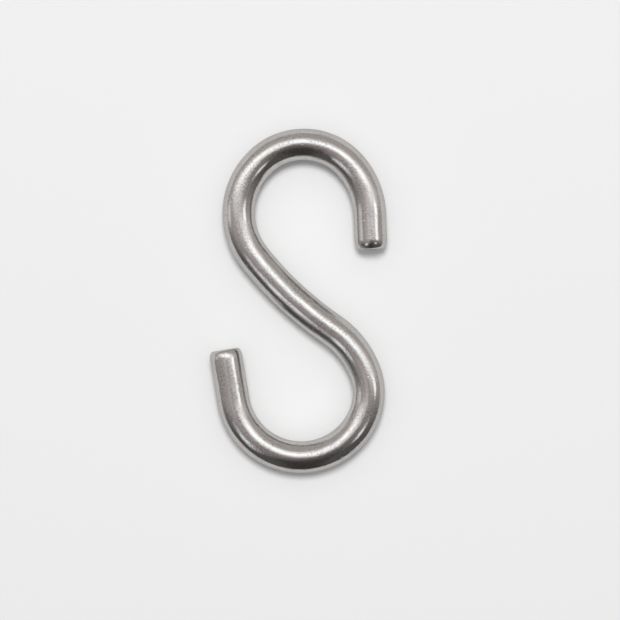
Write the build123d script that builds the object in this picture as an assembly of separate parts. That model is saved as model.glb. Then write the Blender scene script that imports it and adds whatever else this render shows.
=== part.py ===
from build123d import *
from math import pi, sin
import os

# An S hook: one length of round stainless bar, bent cold around a pin into two open hooks.
# It lies flat on its side, with its length along Y and the bar's underside at z = 0.
# All lengths are in millimetres and all turns in degrees.

# Bar
bar_diameter = 6.0
crown_narrowing = 0.2  # width that the bar loses halfway round each bend, where it is stretched

# Shank between the hooks
shank_straight = 2.1
shank_slope = 35.7  # fall of the straight, from the X axis
shank_bow_radius = 63.0
shank_bow_turn = 16.3

# Upper hook, from its tip to the shank
upper_leg = 6.7
upper_end_rounding = 1.1
upper_entry_radius = 13.9
upper_entry_turn = 40.2
upper_crown_radius = 11.3
upper_crown_turn = 87.0
upper_back_radius = 12.8
upper_back_turn = 88.0

# Lower hook, from the shank to its tip
lower_back_radius = 16.1
lower_back_turn = 34.0
lower_side_radius = 10.7
lower_side_turn = 44.7
lower_crown_radius = 12.5
lower_crown_turn = 146.2
lower_leg = 9.2
lower_end_rounding = 0.8

# Sections that shape the narrowing along a bend
bend_sections = 5


def straight_run(before, length):
    start = before @ 1
    return Line(start, start + (before % 1) * length)


def bent_run(before, radius, turn):
    return JernArc(before @ 1, before % 1, radius, turn)


def upper_runs():
    # The tip's heading is the one that leaves the shank at its slope after all the turns
    turns = upper_entry_turn + upper_crown_turn + upper_back_turn + shank_bow_turn
    leg = PolarLine((0, 0), upper_leg, -shank_slope - turns)
    entry = bent_run(leg, upper_entry_radius, upper_entry_turn)
    crown = bent_run(entry, upper_crown_radius, upper_crown_turn)
    back = bent_run(crown, upper_back_radius, upper_back_turn)
    return leg, [entry, crown, back]


def shank_runs(before):
    bow = bent_run(before, shank_bow_radius, shank_bow_turn)
    return [bow, straight_run(bow, shank_straight)]


def lower_runs(before):
    back = bent_run(before, lower_back_radius, -lower_back_turn)
    side = bent_run(back, lower_side_radius, -lower_side_turn)
    crown = bent_run(side, lower_crown_radius, -lower_crown_turn)
    return [back, side, crown], straight_run(crown, lower_leg)


def section(path, place, width):
    # The bar's section square to its path: its full height, and its width in the plane of the hook
    plane = Plane(origin=path @ place, x_dir=(0, 0, 1), z_dir=path % place)
    return plane * Ellipse(bar_diameter / 2, width / 2)


def round_section(path, place):
    plane = Plane(origin=path @ place, x_dir=(0, 0, 1), z_dir=path % place)
    return plane * Circle(bar_diameter / 2)


def leg_solid(run):
    return extrude(round_section(run, 0), amount=run.length, dir=run % 0)


def shank_solid(runs):
    path = Wire([run.edge() for run in runs])
    return sweep(round_section(path, 0), path=path)


def bend_solid(runs):
    # Round at both ends and narrowest halfway, with a smooth change between
    path = Wire([run.edge() for run in runs])
    sections = []
    for number in range(bend_sections):
        place = number / (bend_sections - 1)
        width = bar_diameter - crown_narrowing * sin(pi * place) ** 2
        sections.append(section(path, place, width))
    return sweep(sections, path=path, multisection=True)


def rounded_end(bar, tip, rounding):
    # The cut end is square to the bar, and tumbling has rounded its edge
    cut_face = bar.faces().sort_by_distance(tip)[0]
    return fillet(cut_face.edges(), rounding)


def s_hook():
    upper_tip, upper_bend = upper_runs()
    shank = shank_runs(upper_bend[-1])
    lower_bend, lower_tip = lower_runs(shank[-1])
    upper_end = rounded_end(leg_solid(upper_tip), upper_tip @ 0, upper_end_rounding)
    lower_end = rounded_end(leg_solid(lower_tip), lower_tip @ 1, lower_end_rounding)
    bar = upper_end + bend_solid(upper_bend) + shank_solid(shank) + bend_solid(lower_bend) + lower_end
    box = bar.bounding_box()
    return Pos(-box.center().X, -box.center().Y, -box.min.Z) * bar


os.makedirs("parts", exist_ok=True)
hook = s_hook()
export_step(hook, "parts/s_hook.step")
print("s_hook", hook.is_valid, "volume", hook.volume, "size", hook.bounding_box().size)
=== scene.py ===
from math import cos, pi, radians, sin

import bpy
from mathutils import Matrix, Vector, noise


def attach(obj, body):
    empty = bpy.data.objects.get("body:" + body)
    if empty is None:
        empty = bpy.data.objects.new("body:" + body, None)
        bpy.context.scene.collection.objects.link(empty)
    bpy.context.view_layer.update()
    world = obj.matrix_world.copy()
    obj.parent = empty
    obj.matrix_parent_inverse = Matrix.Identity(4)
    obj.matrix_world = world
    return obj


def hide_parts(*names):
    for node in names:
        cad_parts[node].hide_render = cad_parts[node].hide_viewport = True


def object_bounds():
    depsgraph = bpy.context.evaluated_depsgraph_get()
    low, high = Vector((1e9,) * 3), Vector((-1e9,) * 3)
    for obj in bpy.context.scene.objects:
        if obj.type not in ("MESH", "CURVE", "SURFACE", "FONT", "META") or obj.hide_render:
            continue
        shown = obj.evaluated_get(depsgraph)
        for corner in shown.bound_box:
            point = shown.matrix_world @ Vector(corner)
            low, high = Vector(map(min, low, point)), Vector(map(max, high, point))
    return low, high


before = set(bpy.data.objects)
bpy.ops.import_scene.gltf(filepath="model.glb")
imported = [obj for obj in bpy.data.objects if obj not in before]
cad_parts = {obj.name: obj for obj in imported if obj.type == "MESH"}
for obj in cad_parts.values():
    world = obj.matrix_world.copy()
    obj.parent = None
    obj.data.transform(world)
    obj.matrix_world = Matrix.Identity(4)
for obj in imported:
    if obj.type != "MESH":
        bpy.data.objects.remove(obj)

cadLow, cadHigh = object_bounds()
print("frame loaded, CAD box", [round(v * 1000, 3) for v in (cadHigh - cadLow)], "mm")

scene = bpy.context.scene
scene.view_settings.view_transform = "Standard"
mm = 0.001  # metres in a millimetre


# Small helpers for objects and shader nodes

def place(obj):
    scene.collection.objects.link(obj)
    return obj


def plug(tree, socket, value):
    # a socket is linked, anything else is written on the input
    if isinstance(value, bpy.types.NodeSocket):
        tree.links.new(value, socket)
    else:
        socket.default_value = value


def addNode(tree, kind, inputs=None, **settings):
    node = tree.nodes.new(kind)
    for key, value in settings.items():
        setattr(node, key, value)
    for key, value in (inputs or {}).items():
        plug(tree, node.inputs[key], value)
    return node


def calc(tree, operation, *values):
    node = addNode(tree, "ShaderNodeMath", operation=operation)
    for socket, value in zip(node.inputs, values):
        plug(tree, socket, value)
    return node.outputs[0]


def ramp(tree, value, low, high, toLow=0.0, toHigh=1.0, kind="SMOOTHSTEP"):
    inputs = {"Value": value, "From Min": low, "From Max": high, "To Min": toLow, "To Max": toHigh}
    node = addNode(tree, "ShaderNodeMapRange", inputs, clamp=True, interpolation_type=kind)
    return node.outputs["Result"]


def blend(tree, factor, first, second, kind="MIX"):
    node = addNode(tree, "ShaderNodeMix", data_type="RGBA", blend_type=kind)
    for name, value in (("Factor", factor), ("A", first), ("B", second)):
        sockets = [s for s in node.inputs if s.name == name and s.enabled]
        plug(tree, sockets[0], value)
    return [s for s in node.outputs if s.enabled][0]


def cloud(tree, where, size, detail=2.0, rough=0.5):
    # noise whose spots are about as large as size, in the units of where
    scale = [1 / length for length in size]
    scaled = addNode(tree, "ShaderNodeVectorMath", {0: where, 1: scale}, operation="MULTIPLY").outputs[0]
    inputs = {"Vector": scaled, "Scale": 1.0, "Detail": detail, "Roughness": rough}
    return addNode(tree, "ShaderNodeTexNoise", inputs).outputs["Fac"]


def newGroup(name, inputs, outputs):
    # inputs and outputs are lists of (name, socket kind, starting value or None)
    tree = bpy.data.node_groups.new(name, "ShaderNodeTree")
    for direction, sockets in (("INPUT", inputs), ("OUTPUT", outputs)):
        for label, kind, start in sockets:
            socket = tree.interface.new_socket(label, in_out=direction, socket_type="NodeSocket" + kind)
            if start is not None:
                socket.default_value = start
    return tree, tree.nodes.new("NodeGroupInput").outputs, tree.nodes.new("NodeGroupOutput").inputs


# The bent bar, from the upper tip to the lower one, sizes in mm and turns in degrees
hook = {
    "barDiameter": 6.0,
    "crownNarrowing": 0.2,     # how much narrower the bar is halfway round a bend
    "finishAllowance": 0.012,  # what polishing took off the radius
    "shankSlope": 35.7,
    "upperLeg": 6.7,
    "upperBend": ((13.9, 40.2), (11.3, 87.0), (12.8, 88.0)),
    "shankBow": (63.0, 16.3),
    "shankStraight": 2.1,
    "lowerBend": ((16.1, -34.0), (10.7, -44.7), (12.5, -146.2)),
    "lowerLeg": 9.2,
    "upperRounding": (1.75, 0.90),   # worn cut edges: length along the bar, depth into it
    "lowerRounding": (1.60, 0.68),
    "waveDepth": 0.035,        # soft unevenness left by bending and tumbling, always inward
    "waveLength": 7.0,         # along the bar
    "waveWidth": 3.4,          # around it
    "drawDepth": 0.014,        # lengthwise flats left by drawing the bar
    "drawLength": 9.0,
    "drawWidth": 0.9,
    "drawStart": 40.0,         # a far part of the noise, so that the flats don't follow the waves
    "fineShare": 0.5,          # finer noise added to the coarse, and how much finer it is
    "fineScale": 2.3,
    "wornMiddle": 0.5,         # share of the depth where the noise is 0, and how far it changes it
    "wornChange": 0.6,
    "ringStep": 0.16,          # mesh: distance between rings and points in each
    "ringPoints": 96,
    "roundingRings": 14,       # rings over a worn edge and over a cut face
    "faceRings": 8,
}


def hookRuns():
    # each run: start along the bar, length, curvature to the left, start point, heading, bend
    turned = sum(turn for radius, turn in hook["upperBend"]) + hook["shankBow"][1]
    pieces = [(hook["upperLeg"], 0.0, None)]
    pieces += [(radius, turn, "upper") for radius, turn in hook["upperBend"]]
    pieces += [(*hook["shankBow"], None), (hook["shankStraight"], 0.0, None)]
    pieces += [(radius, turn, "lower") for radius, turn in hook["lowerBend"]]
    pieces += [(hook["lowerLeg"], 0.0, None)]
    runs = []
    start, x, y, heading = 0.0, 0.0, 0.0, -radians(hook["shankSlope"] + turned)
    for size, turn, bend in pieces:
        length = size * radians(abs(turn)) if turn else size
        run = {"start": start, "length": length, "curve": radians(turn) / length,
               "x": x, "y": y, "heading": heading, "bend": bend}
        runs.append(run)
        x, y, heading = alongRun(run, length)
        start += length
    return runs, start


def alongRun(run, part):
    heading, curve = run["heading"], run["curve"]
    if curve == 0.0:
        return run["x"] + part * cos(heading), run["y"] + part * sin(heading), heading
    ahead = heading + part * curve
    return (run["x"] + (sin(ahead) - sin(heading)) / curve,
            run["y"] - (cos(ahead) - cos(heading)) / curve, ahead)


def pointOn(runs, s):
    # the point and heading at s, and how far into its bend it is, from 0 over 1 halfway to 0
    nextTo = 1e-9  # a point this close before a run is on it
    run = [r for r in runs if r["start"] <= s + nextTo][-1]
    x, y, heading = alongRun(run, s - run["start"])
    if run["bend"] is None:
        return x, y, heading, 0.0
    same = [r for r in runs if r["bend"] == run["bend"]]
    share = (s - same[0]["start"]) / sum(r["length"] for r in same)
    return x, y, heading, sin(pi * share) ** 2


def barRings(total):
    # (place along the bar, how far the edge rounding has drawn it in, share of the radius)
    top, low = hook["upperRounding"], hook["lowerRounding"]
    count, discs = hook["roundingRings"], hook["faceRings"]
    rings = [(0.0, top[1], i / discs) for i in range(1, discs)]
    for i in range(count):
        angle = pi / 2 * i / count
        rings.append((top[0] * (1 - cos(angle)), top[1] * (1 - sin(angle)), 1.0))
    even = total - top[0] - low[0]
    steps = round(even / hook["ringStep"])
    rings += [(top[0] + even * i / steps, 0.0, 1.0) for i in range(steps + 1)]
    for i in range(1, count + 1):
        angle = pi / 2 * i / count
        rings.append((total - low[0] * (1 - sin(angle)), low[1] * (1 - cos(angle)), 1.0))
    rings += [(total, low[1], 1 - i / discs) for i in range(1, discs)]
    return rings


def unevenness(s, angle, depth, length, width, start=0.0):
    # smooth noise that runs round the bar without a seam, from 0 down to depth
    turns = hook["barDiameter"] / 2 / width
    spot = Vector((s / length + start, turns * cos(angle), turns * sin(angle)))
    height = noise.noise(spot) + hook["fineShare"] * noise.noise(spot * hook["fineScale"])
    return depth * min(1.0, max(0.0, hook["wornMiddle"] + hook["wornChange"] * height))


def wornAway(s, angle):
    h = hook
    waves = unevenness(s, angle, h["waveDepth"], h["waveLength"], h["waveWidth"])
    flats = unevenness(s, angle, h["drawDepth"], h["drawLength"], h["drawWidth"], h["drawStart"])
    return waves + flats


def barPoints(runs, rings):
    # the skin's points, ring by ring, and each one's place on the bar before it was bent
    middle = hook["barDiameter"] / 2
    radius = middle - hook["finishAllowance"]
    verts, unbent = [], []
    for s, inset, scale in rings:
        x, y, heading, bent = pointOn(runs, s)
        narrow = hook["crownNarrowing"] / 2 * bent
        for k in range(hook["ringPoints"]):
            angle = 2 * pi * k / hook["ringPoints"]
            skin = radius - inset - wornAway(s, angle)
            side = (skin - narrow) * scale * cos(angle)
            up = skin * scale * sin(angle)
            verts.append((x - side * sin(heading), y + side * cos(heading), middle + up))
            unbent.append((s, side, up))
    for s in (rings[0][0], rings[-1][0]):
        x, y, heading, bent = pointOn(runs, s)
        verts.append((x, y, middle))
        unbent.append((s, 0.0, 0.0))
    return verts, unbent


def barFaces(rings):
    # squares from ring to ring, then a fan over each cut face to its middle point
    around, last = hook["ringPoints"], len(rings) - 1
    faces, isEnd = [], []
    for r in range(last):
        for k in range(around):
            a, b = r * around + k, r * around + (k + 1) % around
            faces.append((a, b, b + around, a + around))
            isEnd.append(rings[r][2] < 1.0 or rings[r + 1][2] < 1.0)
    upperMiddle = len(rings) * around
    lowerMiddle = upperMiddle + 1
    for k in range(around):
        a, b = k, (k + 1) % around
        faces.append((b, a, upperMiddle))
    for k in range(around):
        a, b = last * around + k, last * around + (k + 1) % around
        faces.append((a, b, lowerMiddle))
    isEnd += [True] * (2 * around)
    return faces, isEnd


def onCadBox(verts):
    # from mm to metres, laid centred on the CAD box, as the frame is
    shift = []
    for axis in range(2):
        values = [v[axis] for v in verts]
        shift.append((cadLow[axis] + cadHigh[axis]) / 2 / mm - (min(values) + max(values)) / 2)
    return [((x + shift[0]) * mm, (y + shift[1]) * mm, z * mm) for x, y, z in verts]


def buildHook():
    runs, total = hookRuns()
    rings = barRings(total)
    verts, unbent = barPoints(runs, rings)
    faces, isEnd = barFaces(rings)
    mesh = bpy.data.meshes.new("bentBar")
    mesh.from_pydata(onCadBox(verts), [], faces)
    mesh.validate()
    # where each point was on the straight bar, in mm along, across and up it
    places = mesh.attributes.new("unbent", "FLOAT_VECTOR", "POINT")
    places.data.foreach_set("vector", [value for point in unbent for value in point])
    for polygon, end in zip(mesh.polygons, isEnd):
        polygon.use_smooth = True
        polygon.material_index = 1 if end else 0
    obj = place(bpy.data.objects.new("bentBar", mesh))
    print("bent bar:", len(verts), "points,", len(faces), "faces,", round(total, 2), "mm along it")
    return obj


bar = buildHook()
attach(bar, "root")
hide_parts("s_hook")

# Stainless steel: sizes and depths in mm
steel = {
    "coolTone": (0.566, 0.561, 0.561, 1.0),
    "warmTone": (0.590, 0.585, 0.576, 1.0),
    "edgeTint": (0.70, 0.69, 0.68, 1.0),
    "toneSize": (4.0, 2.0, 2.0),       # spots of the one tone in the other
    "toneDetail": (3.0, 0.6),
    "toneRange": (0.3, 0.7),           # noise where the warm tone begins and is full
    "roughness": (0.045, 0.085),       # from the smoothest to the dullest spots
    "dullSpread": (0.1, 0.9),          # dullness that gives the one and the other
    "grainSize": (0.30, 0.25, 0.25),
    "grainDetail": (2.0, 0.7),
    "grainDepth": 0.022,
    "dullGrain": (0.3, 0.72),          # grain noise where the dull spots begin and are full
    "patchSize": (3.5, 2.2, 2.2),      # patches where the grain is stronger or weaker
    "patchRange": (0.36, 0.62),        # noise where a strong patch begins and is full
    "patchShare": (0.35, 1.0),         # share of the grain in the weak and the strong patches
    "paintedSpeckSize": (0.36, 0.32, 0.32),   # painted shade and glints: fine darker specks between brighter ones in the steel's colour, for the sparkle of its grain
    "paintedSpeckRange": (0.47, 0.62),        # noise where a speck begins and is full
    "paintedSpeckShade": (1.04, 0.84),        # share of the tone outside the specks and in them, a painted glint above 1 and painted shade below
    "streakSize": (5.0, 0.20, 0.20),   # fine lines along the bar
    "streakDepth": 0.006,
    "lineDetail": (2.0, 0.6),          # for the fine lines and the shear marks
    "lineShare": 0.5,                  # of the dullness, the rest comes from the grain
    "pitSpacing": 0.9,
    "pitRadius": 0.2,                  # share of the spacing
    "pitDepth": 0.025,
    "pitsLeftOut": 0.72,               # share of the places without a pit
    "endGrainDepth": 0.03,
    "endRoughness": (0.13, 0.24),
    "shearSize": (0.3, 3.5, 0.14),     # marks of the shear across the cut ends
    "shearDepth": 0.012,
}


def steelSurfaceGroup():
    # height, dullness, tone and painted specks of shade and glint on tumbled steel, from the place on
    # the straight bar
    s = steel
    tree, given, result = newGroup(
        "steelSurface",
        [("Where", "Vector", None), ("Grain Depth", "Float", s["grainDepth"]), ("Lines", "Float", 0.0)],
        [("Height", "Float", None), ("Dullness", "Float", None),
         ("Tone", "Float", None), ("Painted Speckle", "Float", None)])
    where = given["Where"]
    grain = cloud(tree, where, s["grainSize"], *s["grainDetail"])
    patches = cloud(tree, where, s["patchSize"], detail=1.0)
    patches = ramp(tree, patches, *s["patchRange"], *s["patchShare"])
    grainHeight = calc(tree, "MULTIPLY", calc(tree, "MULTIPLY", grain, patches), given["Grain Depth"])
    # small pits in some of the cells
    cells = {"Vector": where, "Scale": 1 / s["pitSpacing"], "Randomness": 1.0}
    pits = addNode(tree, "ShaderNodeTexVoronoi", cells).outputs
    chosen = addNode(tree, "ShaderNodeSeparateColor", {"Color": pits["Color"]}).outputs["Red"]
    isPit = calc(tree, "GREATER_THAN", chosen, s["pitsLeftOut"])
    pitShape = ramp(tree, pits["Distance"], 0.0, s["pitRadius"], -s["pitDepth"], 0.0)
    height = calc(tree, "MULTIPLY_ADD", pitShape, isPit, grainHeight)
    plug(tree, result["Height"], calc(tree, "ADD", height, given["Lines"]))
    plug(tree, result["Dullness"], ramp(tree, grain, *s["dullGrain"]))
    tones = cloud(tree, where, s["toneSize"], *s["toneDetail"])
    plug(tree, result["Tone"], ramp(tree, tones, *s["toneRange"]))
    # painted shade and glints: specks that darken or brighten the steel's colour, stronger in the
    # grain's patches
    paintedSpeckle = ramp(tree, cloud(tree, where, s["paintedSpeckSize"], detail=1.0), *s["paintedSpeckRange"])
    plug(tree, result["Painted Speckle"], calc(tree, "MULTIPLY", paintedSpeckle, patches))
    return tree


def steelMaterial(name, surface, lineSize, lineDepth, grainDepth, roughness):
    s = steel
    material = bpy.data.materials.new(name)
    material.use_nodes = True
    tree = material.node_tree
    shader = tree.nodes["Principled BSDF"]
    shader.inputs["Metallic"].default_value = 1.0
    shader.inputs["Specular Tint"].default_value = s["edgeTint"]
    where = addNode(tree, "ShaderNodeAttribute", attribute_name="unbent").outputs["Vector"]
    lines = cloud(tree, where, lineSize, *s["lineDetail"])
    skin = addNode(tree, "ShaderNodeGroup", node_tree=surface)
    plug(tree, skin.inputs["Where"], where)
    plug(tree, skin.inputs["Grain Depth"], grainDepth)
    plug(tree, skin.inputs["Lines"], calc(tree, "MULTIPLY", lines, lineDepth))
    toned = blend(tree, skin.outputs["Tone"], s["coolTone"], s["warmTone"])
    # painted shade and glints: the specks scale the steel's colour up between them and down in them
    speckPaint = ramp(tree, skin.outputs["Painted Speckle"], 0.0, 1.0, *s["paintedSpeckShade"], kind="LINEAR")
    speckled = addNode(tree, "ShaderNodeVectorMath", {0: toned, "Scale": speckPaint}, operation="SCALE")
    plug(tree, shader.inputs["Base Color"], speckled.outputs["Vector"])
    grainDull = calc(tree, "MULTIPLY", skin.outputs["Dullness"], 1 - s["lineShare"])
    dull = calc(tree, "MULTIPLY_ADD", lines, s["lineShare"], grainDull)
    plug(tree, shader.inputs["Roughness"], ramp(tree, dull, *s["dullSpread"], *roughness, kind="LINEAR"))
    relief = {"Strength": 1.0, "Distance": mm, "Height": skin.outputs["Height"]}
    plug(tree, shader.inputs["Normal"], addNode(tree, "ShaderNodeBump", relief).outputs["Normal"])
    return material


steelSurface = steelSurfaceGroup()
bar.data.materials.append(steelMaterial(
    "polishedSteel", steelSurface, steel["streakSize"], steel["streakDepth"],
    steel["grainDepth"], steel["roughness"]))
bar.data.materials.append(steelMaterial(
    "cutEnd", steelSurface, steel["shearSize"], steel["shearDepth"],
    steel["endGrainDepth"], steel["endRoughness"]))
print("steel made for the bar and its cut ends")

farTone = (0.855, 0.855, 0.855, 1.0)  # the pale room behind and far out on the table

# The pale table it lies on
table = {
    "size": 6.0,                       # metres across
    "tone": (0.822, 0.829),            # its grey to the camera, on the near and the far side, a painted light falloff that is darker on the near side, away from the key lamp
    "toneReach": 0.056,                # metres from the middle where the one and the other begin
    "mirrored": (0.76, 0.745, 0.73, 1.0),   # its tone in the steel
    "nearSideDark": (0.10, 0.092, 0.088, 1.0),  # dark near side past the edge, in the steel only
    "edge": (-0.064, -0.056),          # Y in metres where the dark near side gives way to the table's tone
    "roughness": 0.9,
    "shine": 0.05,
    "fade": (0.10, 0.45),              # metres from the hook where it fades into the room's tone
}


def layTable():
    half = table["size"] / 2
    corners = [(-half, -half, 0), (half, -half, 0), (half, half, 0), (-half, half, 0)]
    mesh = bpy.data.meshes.new("tableTop")
    mesh.from_pydata(corners, [], [(0, 1, 2, 3)])
    obj = place(bpy.data.objects.new("tableTop", mesh))
    material = bpy.data.materials.new("paleTable")
    material.use_nodes = True
    tree = material.node_tree
    shader = tree.nodes["Principled BSDF"]
    shader.inputs["Roughness"].default_value = table["roughness"]
    shader.inputs["Specular IOR Level"].default_value = table["shine"]
    spot = addNode(tree, "ShaderNodeTexCoord").outputs["Object"]
    away = addNode(tree, "ShaderNodeSeparateXYZ", {"Vector": spot}).outputs["Y"]
    # painted light falloff: the camera's grey is a little darker on the near side
    tone = ramp(tree, away, -table["toneReach"], table["toneReach"], *table["tone"], kind="LINEAR")
    grey = {"Red": tone, "Green": tone, "Blue": tone}
    paper = addNode(tree, "ShaderNodeCombineColor", grey).outputs["Color"]
    # darker towards the near side past the edge, for rays other than the camera's
    mirrored = blend(tree, ramp(tree, away, *table["edge"]), table["nearSideDark"], table["mirrored"])
    seen = addNode(tree, "ShaderNodeLightPath").outputs["Is Camera Ray"]
    plug(tree, shader.inputs["Base Color"], blend(tree, seen, mirrored, paper))
    reach = addNode(tree, "ShaderNodeVectorMath", {0: spot}, operation="LENGTH").outputs["Value"]
    fade = calc(tree, "MULTIPLY", seen, ramp(tree, reach, *table["fade"]))
    far = addNode(tree, "ShaderNodeEmission", {"Color": farTone, "Strength": 1.0}).outputs["Emission"]
    mixed = addNode(tree, "ShaderNodeMixShader", {0: fade, 1: shader.outputs["BSDF"], 2: far})
    plug(tree, tree.nodes["Material Output"].inputs["Surface"], mixed.outputs["Shader"])
    mesh.materials.append(material)


layTable()

# The room that the steel mirrors. Directions are parts of a unit step, X to the right, Y to the top
room = {
    "walls": (0.522, 0.480, 0.452, 1.0),
    "darkSide": (0.116, 0.110, 0.106, 1.0),
    "darkToWalls": (-0.685, 0.265),    # Y of the direction where the walls begin and are full
    "fill": 0.61,                      # plain light from above for all that doesn't mirror
    "fillFrom": (0.20, 0.75),          # height over the horizon where it begins and is full
}
# soft lamps and windows over the table: centre, half widths, edge softness, colour
lamps = {
    "umbrella": ((-0.02, 0.40), (0.45, 0.19), 0.96, (0.91, 0.94, 0.94, 1.0)),
    "umbrellaRight": ((0.385, 0.227), (0.347, 0.164), 0.98, (0.85, 0.875, 0.89, 1.0)),
    "umbrellaLeft": ((-0.547, 0.281), (0.25, 0.178), 0.68, (0.65, 0.67, 0.68, 1.0)),
    "umbrellaGlow": ((-0.20, 0.334), (0.227, 0.326), 0.98, (0.26, 0.26, 0.28, 1.0)),
    "ceilingStrip": ((-0.05, 0.077), (0.316, 0.087), 0.47, (0.206, 0.204, 0.212, 1.0)),
    "rightWindow": ((0.69, 0.044), (0.115, 0.12), 0.50, (0.98, 0.99, 1.0, 1.0)),
    "leftWindow": ((-0.921, 0.013), (0.072, 0.139), 0.70, (0.46, 0.43, 0.435, 1.0)),
    "leftWall": ((-0.42, -0.26), (0.405, 0.364), 0.15, (0.106, 0.100, 0.113, 1.0)),
    "pinkCloth": ((-0.14, -0.34), (0.20, 0.26), 0.90, (0.045, 0.006, 0.012, 1.0)),
    "leftLamp": ((-0.52, -0.52), (0.11, 0.13), 0.85, (0.95, 0.94, 0.96, 1.0)),
    "rightLamp": ((0.52, -0.41), (0.092, 0.092), 0.70, (1.12, 1.10, 1.15, 1.0)),
}
# extra light over the table for what the steel throws on it, in the same order
bank = ((0.0, 0.34), (0.38, 0.12), 0.40, (13.0, 13.0, 13.0, 1.0))
# the dark figure behind the camera: centre, half widths, edge softness, share of the light it takes
photographer = ((0.035, -0.705), (0.245, 0.60), 0.41, 0.48)


def softSpotGroup():
    # 1 in the middle of an oval of directions, falling softly to 0 outside it
    tree, given, result = newGroup(
        "softSpot",
        [("Direction", "Vector", None), ("Centre", "Vector", None), ("Half Width", "Vector", None),
         ("Softness", "Float", 0.5)],
        [("Mask", "Float", None)])
    spot = given["Direction"]
    flat = (1.0, 1.0, 0.0)
    steps = (("SUBTRACT", given["Centre"]), ("DIVIDE", given["Half Width"]), ("MULTIPLY", flat))
    for operation, value in steps:
        spot = addNode(tree, "ShaderNodeVectorMath", {0: spot, 1: value}, operation=operation).outputs[0]
    away = addNode(tree, "ShaderNodeVectorMath", {0: spot}, operation="LENGTH").outputs["Value"]
    outer = calc(tree, "ADD", 1.0, given["Softness"])
    inner = calc(tree, "SUBTRACT", 1.0, given["Softness"])
    plug(tree, result["Mask"], ramp(tree, away, outer, inner))
    return tree


def buildRoom():
    world = bpy.data.worlds.new("room")
    scene.world = world
    world.use_nodes = True
    tree = world.node_tree
    background = tree.nodes["Background"]
    direction = addNode(tree, "ShaderNodeTexCoord").outputs["Generated"]
    parts = addNode(tree, "ShaderNodeSeparateXYZ", {"Vector": direction}).outputs
    mirrored = blend(tree, ramp(tree, parts["Y"], *room["darkToWalls"]), room["darkSide"], room["walls"])
    group = softSpotGroup()

    def mask(centre, size, softness):
        node = addNode(tree, "ShaderNodeGroup", node_tree=group)
        plug(tree, node.inputs["Direction"], direction)
        plug(tree, node.inputs["Centre"], (*centre, 0.0))
        plug(tree, node.inputs["Half Width"], (*size, 1.0))
        plug(tree, node.inputs["Softness"], softness)
        return node.outputs["Mask"]

    for centre, size, softness, colour in lamps.values():
        mirrored = blend(tree, mask(centre, size, softness), mirrored, colour, "ADD")
    centre, size, softness, share = photographer
    figure = calc(tree, "MULTIPLY", mask(centre, size, softness), share)
    mirrored = blend(tree, figure, mirrored, (0.0, 0.0, 0.0, 1.0))
    plain = ramp(tree, parts["Z"], *room["fillFrom"], 0.0, room["fill"])
    rays = addNode(tree, "ShaderNodeLightPath").outputs
    # the bank's full light, only where the steel throws it on the table
    thrown = calc(tree, "MULTIPLY", calc(tree, "MINIMUM", rays["Diffuse Depth"], 1.0), mask(*bank[:3]))
    mirrored = blend(tree, thrown, mirrored, bank[3], "ADD")
    light = blend(tree, rays["Is Glossy Ray"], plain, mirrored)
    plug(tree, background.inputs["Color"], blend(tree, rays["Is Camera Ray"], light, farTone))


buildRoom()

# A soft lamp over the top of the picture, which casts the shadows
key = {
    "tilt": 16.5,          # degrees from straight above, towards the top of the picture
    "distance": 1.2,       # metres from the hook
    "size": (0.42, 0.38),
    "power": 8.8,
}


def hangKey():
    data = bpy.data.lights.new("softKey", "AREA")
    data.shape = "ELLIPSE"
    data.size, data.size_y = key["size"]
    data.energy = key["power"]
    tilt = radians(key["tilt"])
    lamp = place(bpy.data.objects.new("softKey", data))
    lamp.location = (0.0, key["distance"] * sin(tilt), key["distance"] * cos(tilt))
    lamp.rotation_euler = (-tilt, 0, 0)
    lamp.visible_glossy = False  # the steel mirrors the room's lamps in its place


hangKey()
print("table, room and key light set")

view = {
    "lens": 150.0,
    "sensor": 36.0,
    "mmPerPixel": 0.18188,   # at the middle of the bar
    "pixels": 620,
    "aim": (2.06, -1.66),    # mm from the middle of the hook
}


def setCamera():
    data = bpy.data.cameras.new("camera")
    data.lens = view["lens"]
    data.sensor_width = view["sensor"]
    distance = view["mmPerPixel"] * view["pixels"] * view["lens"] / view["sensor"]
    camera = place(bpy.data.objects.new("camera", data))
    camera.location = Vector((*view["aim"], distance + hook["barDiameter"] / 2)) * mm
    scene.camera = camera


setCamera()
print("camera above the hook")
